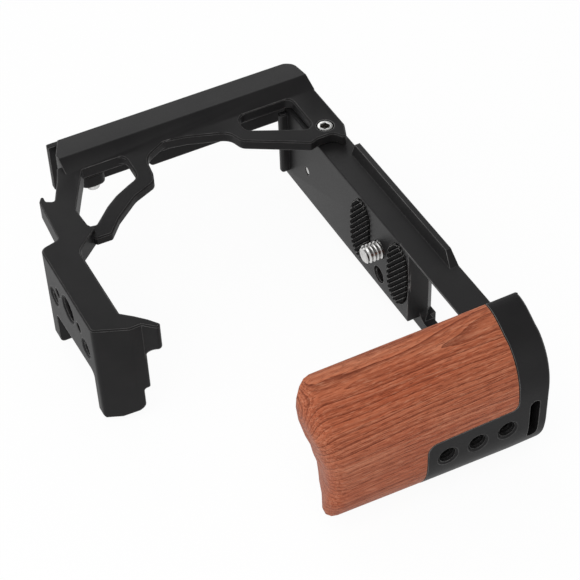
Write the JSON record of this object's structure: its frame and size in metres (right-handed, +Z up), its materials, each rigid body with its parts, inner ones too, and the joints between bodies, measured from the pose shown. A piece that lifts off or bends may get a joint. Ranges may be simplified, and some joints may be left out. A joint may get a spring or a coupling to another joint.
{
  "type": "camera cage",
  "caption": "Half cage for a compact camera: milled base with camera screw and pads, L-shaped side frame with a top accessory block, and a wooden hand grip on a metal foot.",
  "frame": {"origin": "under the middle of the whole cage, in the plane of its underside", "axes": "+X towards the side frame's beam, with the hand grip at -X; -Y towards the lens side; +Z up, so the cage stands as it does under a level camera"},
  "size_m": [0.1582, 0.0504, 0.1079],
  "materials": {
    "black_metal": "satin black anodised, fine bead-blasted",
    "rosewood": "oiled reddish hardwood, open straight grain",
    "steel": "bright nickel-plated steel",
    "black_steel": "black oxide steel",
    "brass": "plain turned brass",
    "rubber": "matt black rubber with straight ribs"
  },
  "bodies": {
    "cage": {"base_plate": "black_metal", "side_frame": "black_metal", "wood_grip": "rosewood", "frame_screw": "steel", "lug_screw": "steel", "pad_left": "rubber", "pad_right": "rubber", "grip_screw_rear": "black_steel", "grip_screw_front": "black_steel", "grip_insert_rear": "brass", "grip_insert_front": "brass"},
    "washer": {"screw_washer": "black_steel"},
    "screw": {"camera_screw": "steel"}
  },
  "joints": [
    {"name": "camera_screw_slide", "type": "slide", "parent": "cage", "child": "washer", "axis": [0, 0, 1], "range_m": [-0.0021, 0]},
    {"name": "camera_screw_turn", "type": "hinge", "parent": "washer", "child": "screw", "pos_m": [0.00015, 0.0033, 0.004], "axis": [0, 0, 1], "continuous": true}
  ]
}
